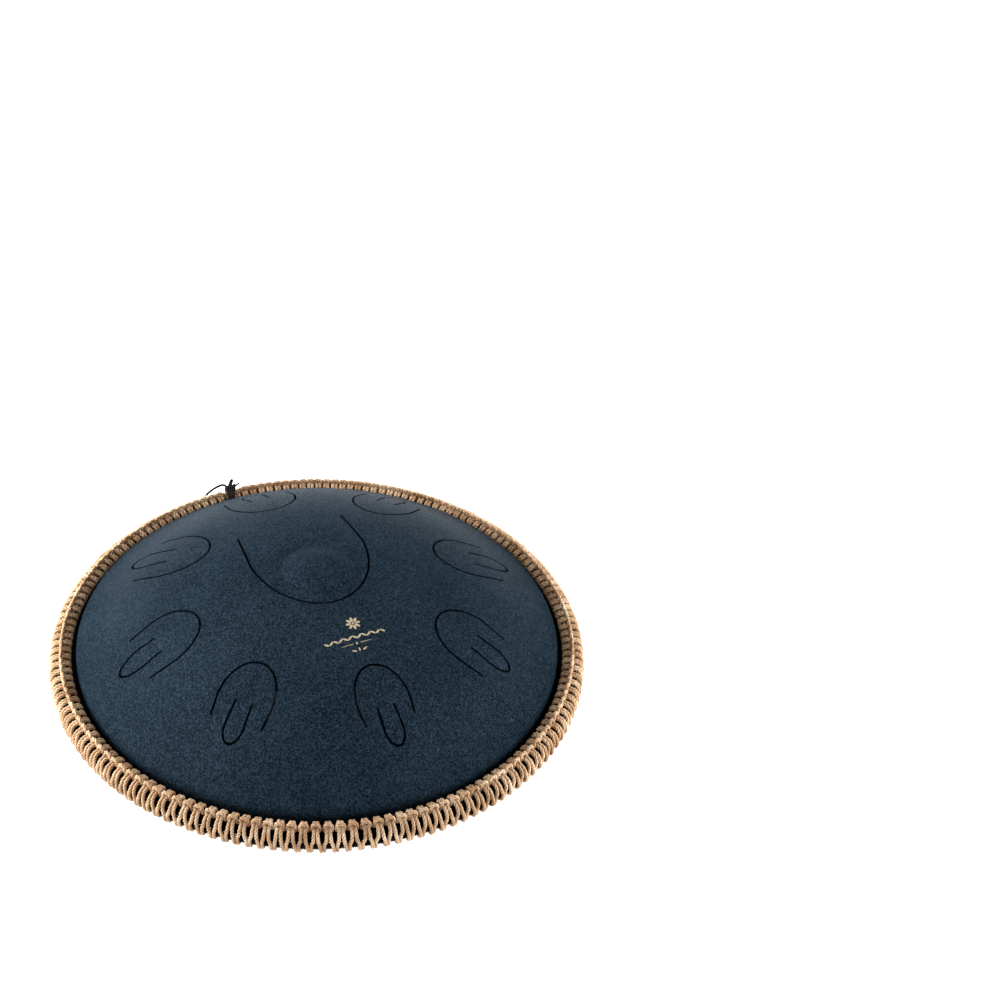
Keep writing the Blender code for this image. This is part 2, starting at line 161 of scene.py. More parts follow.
def add_light(name, azimuth, elevation, size, power):
    """A soft square light aimed at the drum. It stands at azimuth degrees round from the camera."""
    turn = math.radians(azimuth + CAMERA_AZIMUTH)
    rise = math.radians(elevation)
    way = Vector((math.sin(turn) * math.cos(rise), -math.cos(turn) * math.cos(rise), math.sin(rise)))
    data = bpy.data.lights.new(name, "AREA")
    data.shape, data.size, data.energy = "SQUARE", size, power
    light = bpy.data.objects.new(name, data)
    light.location = Vector((0, 0, RIM_Z)) + way * LIGHT_DISTANCE
    light.rotation_euler = way.to_track_quat("Z", "Y").to_euler()
    bpy.context.scene.collection.objects.link(light)


def add_floor():
    """A pale floor that glows faintly, with painted shade under the drum."""
    mesh = bpy.data.meshes.new("floor")
    r = FLOOR_REACH
    mesh.from_pydata([(-r, -r, 0), (r, -r, 0), (r, r, 0), (-r, r, 0)], [], [(0, 1, 2, 3)])
    floor = bpy.data.objects.new("floor", mesh)
    bpy.context.scene.collection.objects.link(floor)
    material, nodes, links, shader = new_material("floor_paper")
    place = nodes.new("ShaderNodeTexCoord")
    away = node(nodes, "ShaderNodeVectorMath", operation="LENGTH")
    links.new(place.outputs["Object"], away.inputs[0])
    glow = map_range(nodes, FLOOR_GLOW, (0.0, 0.5))
    links.new(away.outputs["Value"], glow.inputs["Value"])
    links.new(glow.outputs["Result"], shader.inputs["Emission Strength"])
    # Painted shade: the floor's colour darkens under the drum
    shade = map_range(nodes, FLOOR_PAINTED_SHADE)
    links.new(away.outputs["Value"], shade.inputs["Value"])
    tone = ramp(nodes, [(0.0, (0.03, 0.03, 0.03)), (1.0, (0.9, 0.9, 0.9))])
    links.new(shade.outputs["Result"], tone.inputs["Fac"])
    links.new(tone.outputs["Color"], shader.inputs["Base Color"])
    shader.inputs["Roughness"].default_value = 0.9
    shader.inputs["Emission Color"].default_value = (1, 1, 1, 1)
    mesh.materials.append(material)


def add_studio():
    """A pale floor, a pale world and soft lights."""
    scene = bpy.context.scene
    scene.view_settings.view_transform = "Standard"
    scene.view_settings.look = "None"
    world = bpy.data.worlds.new("studio")
    world.use_nodes = True
    world.node_tree.nodes["Background"].inputs["Color"].default_value = (1.0, 1.0, 1.0, 1.0)
    world.node_tree.nodes["Background"].inputs["Strength"].default_value = 0.36
    scene.world = world
    add_floor()
    add_light("left_back", -110, 12, 0.9, 66)
    add_light("right_back", 110, 12, 0.9, 24)
    add_light("right", 80, 16, 0.9, 30)
    add_light("left", -80, 16, 0.9, 26)
    add_light("left_front", -55, 14, 0.9, 14)
    add_light("top", -165, 42, 0.8, 12)


# ---------------------------------------------------------------- materials


def new_material(name):
    """A node material with its parts ready to wire."""
    material = bpy.data.materials.new(name)
    material.use_nodes = True
    nodes, links = material.node_tree.nodes, material.node_tree.links
    return material, nodes, links, nodes["Principled BSDF"]


def node(nodes, kind, **values):
    """A node with its inputs set by name, and its own settings by lower-case name."""
    made = nodes.new(kind)
    for key, value in values.items():
        if key in made.inputs:
            made.inputs[key].default_value = value
        else:
            setattr(made, key, value)
    return made


def map_range(nodes, source, target=(0.0, 1.0)):
    """A linear map from one range of values to another."""
    made = nodes.new("ShaderNodeMapRange")
    made.inputs["From Min"].default_value, made.inputs["From Max"].default_value = source
    made.inputs["To Min"].default_value, made.inputs["To Max"].default_value = target
    return made


def ramp(nodes, stops):
    """A colour ramp from (place, colour) pairs."""
    made = nodes.new("ShaderNodeValToRGB")
    elements = made.color_ramp.elements
    while len(elements) < len(stops):
        elements.new(0.5)
    for element, (place, colour) in zip(elements, stops):
        element.position = place
        element.color = (*colour, 1.0)
    return made


def coat_grain(nodes, links, place):
    """The coat's leather grain as a height: thin wandering crests, with fine specks over them."""
    grain = node(nodes, "ShaderNodeTexNoise", Scale=560.0, Detail=1.5, Roughness=0.5, Distortion=0.6)
    speck = node(nodes, "ShaderNodeTexNoise", Scale=1100.0, Detail=2.0, Roughness=0.6)
    for texture in (grain, speck):
        links.new(place.outputs["Object"], texture.inputs["Vector"])
    level = node(nodes, "ShaderNodeMath", operation="SUBTRACT")
    level.inputs[1].default_value = 0.5
    fold = node(nodes, "ShaderNodeMath", operation="ABSOLUTE")
    crest = map_range(nodes, (0.11, 0.0))
    links.new(grain.outputs["Fac"], level.inputs[0])
    links.new(level.outputs["Value"], fold.inputs[0])
    links.new(fold.outputs["Value"], crest.inputs["Value"])
    height = node(nodes, "ShaderNodeMath", operation="MULTIPLY_ADD")
    height.inputs[1].default_value = 0.8
    links.new(speck.outputs["Fac"], height.inputs[0])
    links.new(crest.outputs["Result"], height.inputs[2])
    return height.outputs["Value"]


def painted_coat_shade(nodes, links, place):
    """Painted shade: where the coat is drawn nearly black, from 0 to 1.

    That is from the height of the rope's top downwards, the bottom shell included, and higher up on every
    face that doesn't look upwards: the slits' walls and the top shell's inside.
    """
    split = nodes.new("ShaderNodeSeparateXYZ")
    links.new(place.outputs["Object"], split.inputs["Vector"])
    # Painted shade under the rope's top, down the wall and over the flange
    edge = map_range(nodes, (RIM_Z + 11 * MM, RIM_Z + 2 * MM))
    links.new(split.outputs["Z"], edge.inputs["Value"])
    surface = nodes.new("ShaderNodeNewGeometry")
    way = nodes.new("ShaderNodeSeparateXYZ")
    links.new(surface.outputs["True Normal"], way.inputs["Vector"])
    upright = map_range(nodes, (0.5, 0.4))
    links.new(way.outputs["Z"], upright.inputs["Value"])
    above = map_range(nodes, (RIM_Z + 17 * MM, RIM_Z + 18 * MM))
    links.new(split.outputs["Z"], above.inputs["Value"])
    # Painted shade on the slits' walls and the top shell's inside
    cut = node(nodes, "ShaderNodeMath", operation="MULTIPLY")
    links.new(upright.outputs["Result"], cut.inputs[0])
    links.new(above.outputs["Result"], cut.inputs[1])
    shaded = node(nodes, "ShaderNodeMath", operation="MAXIMUM")
    links.new(edge.outputs["Result"], shaded.inputs[0])
    links.new(cut.outputs["Value"], shaded.inputs[1])
    return shaded.outputs["Value"]


def coat_material(name, colour, light_colour):
    """Powder coat on steel: leather grain, tone that drifts, and painted shade, nearly black, where the shade
    mask says.
    """
    material, nodes, links, shader = new_material(name)
    place = nodes.new("ShaderNodeTexCoord")
    height = coat_grain(nodes, links, place)
    bump = node(nodes, "ShaderNodeBump", Strength=1.0, Distance=0.0014)
    links.new(height, bump.inputs["Height"])
    links.new(bump.outputs["Normal"], shader.inputs["Normal"])

    cloud = node(nodes, "ShaderNodeTexNoise", Scale=16.0, Detail=5.0, Roughness=0.65)
    links.new(place.outputs["Object"], cloud.inputs["Vector"])
    mottle = node(nodes, "ShaderNodeMath", operation="MULTIPLY_ADD")
    mottle.inputs[1].default_value = 0.35
    links.new(cloud.outputs["Fac"], mottle.inputs[0])
    raised = node(nodes, "ShaderNodeMath", operation="MULTIPLY")
    raised.inputs[1].default_value = 0.5
    links.new(height, raised.inputs[0])
    links.new(raised.outputs["Value"], mottle.inputs[2])
    tone = ramp(nodes, [(0.35, colour), (0.95, light_colour)])
    links.new(mottle.outputs["Value"], tone.inputs["Fac"])
    # Painted shade: the coat's tone is mixed towards near-black by the mask
    shade = node(nodes, "ShaderNodeMix", data_type="RGBA")
    lit, dark = [socket for socket in shade.inputs if socket.type == "RGBA"]
    dark.default_value = (0.0004, 0.0005, 0.0006, 1.0)
    links.new(painted_coat_shade(nodes, links, place), shade.inputs[0])
    links.new(tone.outputs["Color"], lit)
    links.new([socket for socket in shade.outputs if socket.type == "RGBA"][0], shader.inputs["Base Color"])

    rough = map_range(nodes, (0.0, 1.0), (0.38, 0.50))
    links.new(cloud.outputs["Fac"], rough.inputs["Value"])
    links.new(rough.outputs["Result"], shader.inputs["Roughness"])
    shader.inputs["Metallic"].default_value = 0.1
    shader.inputs["Specular IOR Level"].default_value = 0.015
    shader.inputs["Specular Tint"].default_value = (0.7, 0.85, 1.0, 1.0)
    return material


def fibre_material(name, tones, scale, stretch_by, bump_strength, groove_shade_tint):
    """Plied fibre: fine streaks along the strand, tone that drifts, and painted shade in the grooves between
    its plies.
    """
    material, nodes, links, shader = new_material(name)
    strand = node(nodes, "ShaderNodeUVMap", uv_map="strand")
    place = nodes.new("ShaderNodeTexCoord")
    stretch = nodes.new("ShaderNodeMapping")
    stretch.inputs["Scale"].default_value = (scale, scale / stretch_by, 1.0)
    links.new(strand.outputs["UV"], stretch.inputs["Vector"])
    fibre = node(nodes, "ShaderNodeTexNoise", Scale=1.0, Detail=4.0, Roughness=0.65)
    links.new(stretch.outputs["Vector"], fibre.inputs["Vector"])
    drift = node(nodes, "ShaderNodeTexNoise", Scale=75.0, Detail=3.0)
    links.new(place.outputs["Object"], drift.inputs["Vector"])
    both = node(nodes, "ShaderNodeMath", operation="MULTIPLY_ADD")
    both.inputs[1].default_value = 0.45
    links.new(drift.outputs["Fac"], both.inputs[0])
    half = node(nodes, "ShaderNodeMath", operation="MULTIPLY")
    half.inputs[1].default_value = 0.55
    links.new(fibre.outputs["Fac"], half.inputs[0])
    links.new(half.outputs["Value"], both.inputs[2])
    tone = ramp(nodes, list(zip((0.32, 0.5, 0.68), tones)))
    links.new(both.outputs["Value"], tone.inputs["Fac"])
    # Painted shade: the colour darkens into the grooves between the plies
    turn = nodes.new("ShaderNodeSeparateXYZ")
    links.new(strand.outputs["UV"], turn.inputs["Vector"])
    plies = node(nodes, "ShaderNodeMath", operation="MULTIPLY")
    plies.inputs[1].default_value = 3 * math.pi
    wave = node(nodes, "ShaderNodeMath", operation="COSINE")
    crest = node(nodes, "ShaderNodeMath", operation="ABSOLUTE")
    links.new(turn.outputs["X"], plies.inputs[0])
    links.new(plies.outputs["Value"], wave.inputs[0])
    links.new(wave.outputs["Value"], crest.inputs[0])
    hollow = ramp(nodes, [(0.0, groove_shade_tint), (0.5, (1.0, 1.0, 1.0))])
    links.new(crest.outputs["Value"], hollow.inputs["Fac"])
    tinted = node(nodes, "ShaderNodeVectorMath", operation="MULTIPLY")
    links.new(tone.outputs["Color"], tinted.inputs[0])
    links.new(hollow.outputs["Color"], tinted.inputs[1])
    links.new(tinted.outputs["Vector"], shader.inputs["Base Color"])
    bump = node(nodes, "ShaderNodeBump", Strength=bump_strength, Distance=0.0003)
    links.new(fibre.outputs["Fac"], bump.inputs["Height"])
    links.new(bump.outputs["Normal"], shader.inputs["Normal"])
    shader.inputs["Roughness"].default_value = 0.85
    shader.inputs["Specular IOR Level"].default_value = 0.1
    return material


def rubber_material(name, colour):
    """Moulded rubber: nearly black, matte, faintly mottled."""
    material, nodes, links, shader = new_material(name)
    place = nodes.new("ShaderNodeTexCoord")
    fine = node(nodes, "ShaderNodeTexNoise", Scale=1400.0, Detail=3.0)
    wide = node(nodes, "ShaderNodeTexNoise", Scale=90.0, Detail=3.0)
    links.new(place.outputs["Object"], fine.inputs["Vector"])
    links.new(place.outputs["Object"], wide.inputs["Vector"])
    lighter = tuple(c * 1.8 for c in colour)
    tone = ramp(nodes, [(0.35, colour), (0.7, lighter)])
    links.new(wide.outputs["Fac"], tone.inputs["Fac"])
    links.new(tone.outputs["Color"], shader.inputs["Base Color"])
    bump = node(nodes, "ShaderNodeBump", Strength=0.3, Distance=0.0001)
    links.new(fine.outputs["Fac"], bump.inputs["Height"])
    links.new(bump.outputs["Normal"], shader.inputs["Normal"])
    shader.inputs["Roughness"].default_value = 0.7
    return material


def print_material():
    """Thin gold print."""
    material, nodes, links, shader = new_material("gold_print")
    place = nodes.new("ShaderNodeTexCoord")
    patch = node(nodes, "ShaderNodeTexNoise", Scale=500.0, Detail=3.0)
    links.new(place.outputs["Object"], patch.inputs["Vector"])
    tone = ramp(nodes, [(0.3, (0.42, 0.33, 0.20)), (0.7, (0.62, 0.52, 0.35))])
    links.new(patch.outputs["Fac"], tone.inputs["Fac"])
    links.new(tone.outputs["Color"], shader.inputs["Base Color"])
    shader.inputs["Metallic"].default_value = 0.3
    shader.inputs["Roughness"].default_value = 0.4
    return material


# ---------------------------------------------------------------- turned shapes


def arc(centre, radius, start, end, steps):
    """Points on an arc, angles in degrees, both ends included."""
    turns = [math.radians(start + (end - start) * step / steps) for step in range(steps + 1)]
    return [(centre[0] + radius * math.cos(a), centre[1] + radius * math.sin(a)) for a in turns]


def line(start, end, steps):
    """Points after start, up to and including end."""
    return [
        (start[0] + (end[0] - start[0]) * s / steps, start[1] + (end[1] - start[1]) * s / steps)
        for s in range(1, steps + 1)
    ]


def half_outline(slope, crown_inner):
    """A shell's outer face from its flange's edge to crown_inner, height positive away from the rim."""
    face = FLANGE_UNDERSIDE + STEEL
    points = [(FLANGE_RADIUS, face)] + line((FLANGE_RADIUS, face), (WALL_RADIUS + FLANGE_FILLET, face), 3)
    points += arc((WALL_RADIUS + FLANGE_FILLET, face + FLANGE_FILLET), FLANGE_FILLET, 270, 180, 5)[1:]
    points += line(points[-1], (WALL_RADIUS, WALL_HEIGHT), 3)
    turn = 90 - slope
    points += arc((WALL_RADIUS - WALL_BEND, WALL_HEIGHT), WALL_BEND, 0, turn, 10)[1:]

    def add_bend(radius, start, end, steps):
        """An arc tangent to the last point, whose slope changes from start to end."""
        last = points[-1]
        way = math.radians(start)
        centre = (last[0] - radius * math.cos(way), last[1] - radius * math.sin(way))
        points.extend(arc(centre, radius, start, end, steps)[1:])

    flank_centre = points[-1][0] - FLANK_RADIUS * math.cos(math.radians(turn))
    shoulder = math.degrees(math.acos((FLANK_END - flank_centre) / FLANK_RADIUS))
    add_bend(FLANK_RADIUS, turn, shoulder, 12)
    add_bend(SHOULDER_RADIUS, shoulder, 90 - CROWN_EDGE, 30)
    crown_radius = points[-1][0] / math.sin(math.radians(CROWN_EDGE))
    add_bend(crown_radius, 90 - CROWN_EDGE, math.degrees(math.acos(crown_inner / crown_radius)), 3)
    return points


def top_face():
    """The top shell's outer face, from the tip of the centre dome down to the flange's edge."""
    cap_radius = (DOME_RADIUS**2 + DOME_HEIGHT**2) / (2 * DOME_HEIGHT)
    rise = cap_radius - DOME_HEIGHT + DOME_BLEND
    foot = math.sqrt((cap_radius + DOME_BLEND) ** 2 - rise**2)
    points = half_outline(TOP_SLOPE, foot)
    base = points[-1][1]
    lean = math.degrees(math.asin(foot / (cap_radius + DOME_BLEND)))
    points += arc((foot, base + DOME_BLEND), DOME_BLEND, 270, 270 - lean, 6)[1:]
    cap_centre = (0.0, base + DOME_HEIGHT - cap_radius)
    points += arc(cap_centre, cap_radius, 90 - lean, 90, 12)[1:]
    points[-1] = (0.0, points[-1][1])
    return points[::-1]


def bottom_face():
    """The bottom shell's outer face, from the flange's edge to the inner end of the port's neck."""
    points = half_outline(BOTTOM_SLOPE, PORT_RADIUS + PORT_BEND)
    radius, height = points.pop()
    points += arc((radius, height - PORT_BEND), PORT_BEND, 90, 180, 8)
    points += line(points[-1], (PORT_RADIUS, height - PORT_BEND - PORT_NECK), 3)
    return [(radius, -height) for radius, height in points]


def offset(points, distance):
    """The outline moved to the left of its direction of travel by distance."""
    path = np.array(points)
    ahead = np.gradient(path, axis=0)
    ahead /= np.linalg.norm(ahead, axis=1)[:, None]
    side = np.stack([-ahead[:, 1], ahead[:, 0]], axis=1)
    moved = path + side * distance
    return [tuple(p) for p in moved]


def lathe(name, outline, segments, closed):
    """Turn an outline round the drum's axis. Points on the axis become single vertices."""
    vertices, rings, faces = [], [], []
    turns = [2 * math.pi * s / segments for s in range(segments)]
    for radius, height in outline:
        z = RIM_Z + height * MM
        if abs(radius) < 1e-6:
            rings.append([len(vertices)] * segments)
            vertices.append((0.0, 0.0, z))
            continue
        rings.append(list(range(len(vertices), len(vertices) + segments)))
        vertices += [(radius * MM * math.cos(t), radius * MM * math.sin(t), z) for t in turns]
    pairs = list(zip(rings, rings[1:])) + ([(rings[-1], rings[0])] if closed else [])
    for upper, lower in pairs:
        for s in range(segments):
            corners = [upper[s], lower[s], lower[(s + 1) % segments], upper[(s + 1) % segments]]
            face = list(dict.fromkeys(corners))
            if len(face) > 2:
                faces.append(face)
    mesh = bpy.data.meshes.new(name)
    mesh.from_pydata(vertices, [], faces)
    mesh.validate()
    return mesh


def new_object(name, mesh, material=None):
    """An object in the scene, with its material."""
    thing = bpy.data.objects.new(name, mesh)
    bpy.context.scene.collection.objects.link(thing)
    if material:
        mesh.materials.append(material)
    return thing


def dress(thing, slot, *nodes):
    """Fix a finished piece to the drum's one body, in place of its CAD nodes."""
    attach(thing, "root")
    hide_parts(*nodes)
    return thing


def apply_modifiers(thing):
    """Bake an object's modifiers into its mesh."""
    bpy.context.view_layer.update()
    evaluated = thing.evaluated_get(bpy.context.evaluated_depsgraph_get())
    mesh = bpy.data.meshes.new_from_object(evaluated)
    thing.modifiers.clear()
    thing.data = mesh


def smooth(mesh, degrees=35.0):
    """Smooth shading, with edges sharper than the given angle kept."""
    mesh.shade_smooth()
    mesh.set_sharp_from_angle(angle=math.radians(degrees))


# ---------------------------------------------------------------- shells


def u_path(size, spring, toe, steps):
    """A U in the plane, as (along, across): half an ellipse round the tip, then two straight legs."""
    tip, end, half_width = size
    turns = [math.pi * step / steps for step in range(steps + 1)]
    bow = [(spring + (tip - spring) * math.sin(a), half_width * math.cos(a)) for a in turns]
    start, finish = (end, half_width * toe), (end, -half_width * toe)
    legs = 5
    return [start] + line(start, bow[0], legs) + bow[1:] + line(bow[-1], finish, legs)


def slit_cutter():
    """Every tongue's outline as thin upright walls."""
    walls = bmesh.new()
    low, high = RIM_Z + 16 * MM, RIM_Z + 110 * MM

    def add_wall(path, degrees):
        """One wall along a path in millimetres, turned to its compass angle."""
        place = Matrix.Rotation(math.radians(degrees), 3, "Z")
        columns = [
            [walls.verts.new(place @ Vector((along * MM, across * MM, z))) for z in (low, high)]
            for along, across in path
        ]
        for near, far in zip(columns, columns[1:]):
            walls.faces.new((near[0], far[0], far[1], near[1]))

    for degrees, outer, inner in NOTES:
        add_wall(u_path(outer, OUTER_SPRING, OUTER_TOE, 37), degrees)
        add_wall(u_path(inner, INNER_SPRING, INNER_TOE, 21), degrees)
    add_wall(u_path(DING, DING_SPRING, DING_TOE, 61), DING_ANGLE)
    mesh = bpy.data.meshes.new("slit_cutter")
    walls.to_mesh(mesh)
    walls.free()
    cutter = new_object("slit_cutter", mesh)
    thickness = cutter.modifiers.new("thickness", "SOLIDIFY")
    thickness.thickness, thickness.offset, thickness.use_even_offset = SLIT * MM, 0.0, True
    return cutter


def true_normals(mesh, face_outline):
    """Give a cut shell the normals of its whole surface, so that the slits leave no creases."""
    path = np.array([p for p in face_outline if p[0] < WALL_RADIUS - WALL_BEND])
    slope = np.gradient(path[:, 1], path[:, 0])
    smooth(mesh, 30.0)
    points = np.array([v.co for v in mesh.vertices])
    radius = np.hypot(points[:, 0], points[:, 1])
    lean = np.interp(radius / MM, path[:, 0], slope)
    outward = np.stack([-lean, np.ones(len(lean))], axis=1)
    outward /= np.linalg.norm(outward, axis=1)[:, None]
    level = outward[:, 0] / np.maximum(radius, 1e-9)
    ideal = np.stack([level * points[:, 0], level * points[:, 1], outward[:, 1]], axis=1)
    limit = path[:, 0].max() * MM
    normals = [Vector(c.vector) for c in mesh.corner_normals]
    for polygon in mesh.polygons:
        for corner in polygon.loop_indices:
            vertex = mesh.loops[corner].vertex_index
            if radius[vertex] > limit:
                continue
            there = Vector(ideal[vertex])
            along = there.dot(polygon.normal)
            if abs(along) > 0.8:
                normals[corner] = there if along > 0 else -there
            else:
                normals[corner] = polygon.normal.copy()
    mesh.normals_split_custom_set([tuple(n) for n in normals])


def build_top_shell(material):
    """The top shell, with real slits round all nine notes."""
    face = top_face()
    inner = offset(face, -STEEL)
    inner[0] = (0.0, face[0][1] - STEEL)
    mesh = lathe("top_shell_steel", face + inner[::-1], SHELL_SEGMENTS, False)
    shell = new_object(mesh.name, mesh, material)
    cutter = slit_cutter()
    cut = shell.modifiers.new("slits", "BOOLEAN")
    cut.operation, cut.solver, cut.object = "DIFFERENCE", "EXACT", cutter
    apply_modifiers(shell)
    bpy.data.objects.remove(cutter)
    true_normals(shell.data, face)
    dress(shell, "top_coat", "top_shell")


def build_bottom_shell(material):
    """The bottom shell, with its rolled sound port."""
    face = bottom_face()
    inner = offset(face, -STEEL)
    mesh = lathe("bottom_shell_steel", face + inner[::-1], SHELL_SEGMENTS, True)
    shell = new_object(mesh.name, mesh, material)
    smooth(shell.data, 50.0)
    dress(shell, "bottom_coat", "bottom_shell")


# ---------------------------------------------------------------- cords


def spread(points, step, closed=False):
    """Evenly spaced points along a smooth curve through the given ones."""
    knots = np.array(points, float)
    if closed:
        padded = np.vstack([knots[-1], knots, knots[0], knots[1]])
    else:
        padded = np.vstack([2 * knots[0] - knots[1], knots, 2 * knots[-1] - knots[-2]])
    t = np.linspace(0, 1, 12, endpoint=False)[:, None]
    fine = []
    for i in range(len(padded) - 3):
        a, b, c, d = padded[i : i + 4]
        fine.append(b + 0.5 * t * ((c - a) + t * (2 * a - 5 * b + 4 * c - d + t * (3 * (b - c) + d - a))))
    fine = np.vstack(fine + [knots[:1] if closed else knots[-1:]])
    along = np.concatenate([[0], np.cumsum(np.linalg.norm(np.diff(fine, axis=0), axis=1))])
    count = max(int(round(along[-1] / step)), 2)
    places = np.linspace(0, along[-1], count + 1)
    return np.stack([np.interp(places, along, fine[:, k]) for k in range(3)], axis=1)


def frames(path):
    """A side direction at each point of a path, carried along it without twisting."""
    ahead = np.gradient(path, axis=0)
    ahead /= np.linalg.norm(ahead, axis=1)[:, None]
    side = np.cross(ahead[0], (0.3, 0.2, 1.0))
    sides = []
    for way in ahead:
        side = side - way * side.dot(way)
        side = side / np.linalg.norm(side)
        sides.append(side)
    sides = np.array(sides)
    return ahead, sides, np.cross(ahead, sides)


def strand_mesh(name, path, radius, sides, groove=0.0, lay=LAY, start=0.0, axes=None):
    """A strand along a path in millimetres: round, or three plies with grooves between them that turn.

    UV map strand holds the share of the way round, and the distance along in millimetres.
    """
    _, side, over = axes if axes is not None else frames(path)
    along = start + np.concatenate([[0], np.cumsum(np.linalg.norm(np.diff(path, axis=0), axis=1))])
    turn = 2 * math.pi * np.arange(sides) / sides
    swell = 1 - groove * (1 - np.abs(np.cos(1.5 * turn)))
    twist = 2 * math.pi * along / lay if groove else np.zeros(len(path))
    reach = np.broadcast_to(radius, (len(path),))
    angle = turn[None, :] + twist[:, None]
    ring = reach[:, None] * swell[None, :]
    points = (
        path[:, None, :]
        + (ring * np.cos(angle))[:, :, None] * side[:, None, :]
        + (ring * np.sin(angle))[:, :, None] * over[:, None, :]
    )
    points = points.reshape(-1, 3) * MM
    points[:, 2] += RIM_Z
    n, m = len(path), sides
    i, j = np.meshgrid(np.arange(n - 1), np.arange(m), indexing="ij")
    nxt = (j + 1) % m
    quads = np.stack([i * m + j, i * m + nxt, (i + 1) * m + nxt, (i + 1) * m + j], axis=-1).reshape(-1, 4)
    faces = [tuple(int(v) for v in q) for q in quads]
    faces.append(tuple(range(m))[::-1])
    faces.append(tuple(range((n - 1) * m, n * m)))
    mesh = bpy.data.meshes.new(name)
    mesh.from_pydata([tuple(p) for p in points], [], faces)
    layer = mesh.uv_layers.new(name="strand")
    u0, v0 = j / m, along[i]
    u1, v1 = (j + 1) / m, along[i + 1]
    corners = ((u0, v0), (u1, v0), (u1, v1), (u0, v1))
    uv = np.stack([np.stack(corner, -1) for corner in corners], axis=2).reshape(-1, 2)
    uv = np.vstack([uv, np.zeros((2 * m, 2))])
    layer.data.foreach_set("uv", uv.astype(np.float32).ravel())
    mesh.shade_smooth()
    return mesh


def join_meshes(name, meshes):
    """Several meshes as one."""
    joined = bmesh.new()
    for mesh in meshes:
        joined.from_mesh(mesh)
    result = bpy.data.meshes.new(name)
    joined.to_mesh(result)
    joined.free()
    for mesh in meshes:
        bpy.data.meshes.remove(mesh)
    result.shade_smooth()
    return result


# ---------------------------------------------------------------- rope


def jitter(amount):
    """A small random shift."""
    return random.uniform(-amount, amount)


def knot_route(pitch):
    """One knot's route as (across, radius, height).

    It comes out under the lower hoop, goes up the left leg, over the upper hoop and back under it, across
    the top as the knot's bar, the same way back to the right leg, and down and in under the lower hoop.
    """
    half = pitch / 2
    lift = jitter(0.35)

    def loop(side):
        """From a leg's upper end, in over the upper hoop and back under it, to the bar's end."""
        sway = jitter(0.15)
        steps = [
            (2.0, 203.4 + jitter(0.25), 2.8),
            (1.55, 201.7 + jitter(0.3), 6.8),
            (1.3, 198.4, 8.6),
            (1.3, 195.0, 8.6),
            (1.3, 191.6, 9.1 + jitter(0.2)),
            (1.3, 189.1 + jitter(0.15), 7.4),
            (1.8, 189.9, 4.9),
            (2.4, 192.4, 3.8),
            (2.9, 194.6, 5.4),
            (3.2, 195.7, 8.2),
            (2.3, 195.6 + lift * side * 0.5, 11.4),
        ]
        return [(side * across + sway, radius, height) for across, radius, height in steps]

    left_lean, right_lean = jitter(0.3), jitter(0.3)
    left = [
        (-half + 1.2, 195.2, -4.8),
        (-half + 1.9, 195.6, -7.4),
        (-half + 1.8, 199.0, -9.1),
        (-half + 1.6, 201.9, -7.9),
        (-half + 1.4 + left_lean * 0.5, 203.0, -4.6),
        (-half + 1.5 + left_lean, 203.5, -0.6),
    ]
    right = [
        (half - 1.6 + right_lean, 203.8, -0.6),
        (half - 1.1 + right_lean * 0.5, 203.9, -4.2),
        (half - 0.6, 202.8 + jitter(0.15), -7.3),
        (half - 0.5, 200.2, -9.0),
        (half - 0.8, 197.0, -8.6),
        (half - 1.0, 195.2, -6.2),
        (half - 0.2, 195.0, -4.2),
    ]
    bar = [(0.0, 195.5 + lift * 0.4, 11.8 + jitter(0.1))]
    return left + loop(-1) + bar + loop(1)[::-1] + right


def tie_middle(radius):
    """The compass angle of the tie's middle at a radius, and half its width there."""
    share = (radius - TIE_NEAR[0]) / (TIE_FAR[0] - TIE_NEAR[0])
    middle = TIE_NEAR[1] + share * (TIE_FAR[1] - TIE_NEAR[1])
    half_width = TIE_NEAR[2] + share * (TIE_FAR[2] - TIE_NEAR[2])
    return TIE_ANGLE + math.degrees(middle / radius), half_width


def squeeze(angle, radius, height):
    """How the tie pulls the rope in where it passes."""
    reach, centre = 2.0, 196.0  # degrees either side, and the radius of the rope's middle
    away = (math.degrees(angle) - tie_middle(radius)[0] + 180) % 360 - 180
    pull = math.exp(-((away / reach) ** 4))
    return centre + (radius - centre) * (1 - 0.30 * pull), height * (1 - 0.20 * pull)


def build_rope(material):
    """One continuous cord, knotted to the upper hoop and passed under the lower one, all the way round."""
    around = [2 * math.pi * (index + 0.5) / KNOTS for index in range(KNOTS)]
    widest = math.radians(WIDE_SIDE)
    widths = np.array([1 + WIDENING * math.cos(a - widest) + jitter(0.05) for a in around])
    widths *= 2 * math.pi / widths.sum()
    route, middle = [], 0.0
    for width in widths:
        middle += width / 2
        pitch = width * ROPE_RADIUS
        for across, radius, height in knot_route(pitch):
            angle = middle + across / ROPE_RADIUS
            r, h = squeeze(angle, radius, height)
            route.append((r * math.cos(angle), r * math.sin(angle), h))
        middle += width / 2
    path = spread(route, ROPE_STEP, closed=True)
    axes = frames(path)
    along = np.concatenate([[0], np.cumsum(np.linalg.norm(np.diff(path, axis=0), axis=1))])
    edges = np.linspace(0, len(path) - 1, ROPE_PIECES + 1).astype(int)
    for number, (first, last) in enumerate(zip(edges, edges[1:]), 1):
        part = slice(first, last + 1)
        mesh = strand_mesh(
            f"rope_lacing_{number:02d}",
            path[part],
            STRAND / 2,
            STRAND_SIDES,
            groove=GROOVE,
            start=along[first],
            axes=tuple(a[part] for a in axes),
        )
        dress(new_object(mesh.name, mesh, material), "rope", "rope_lacing")


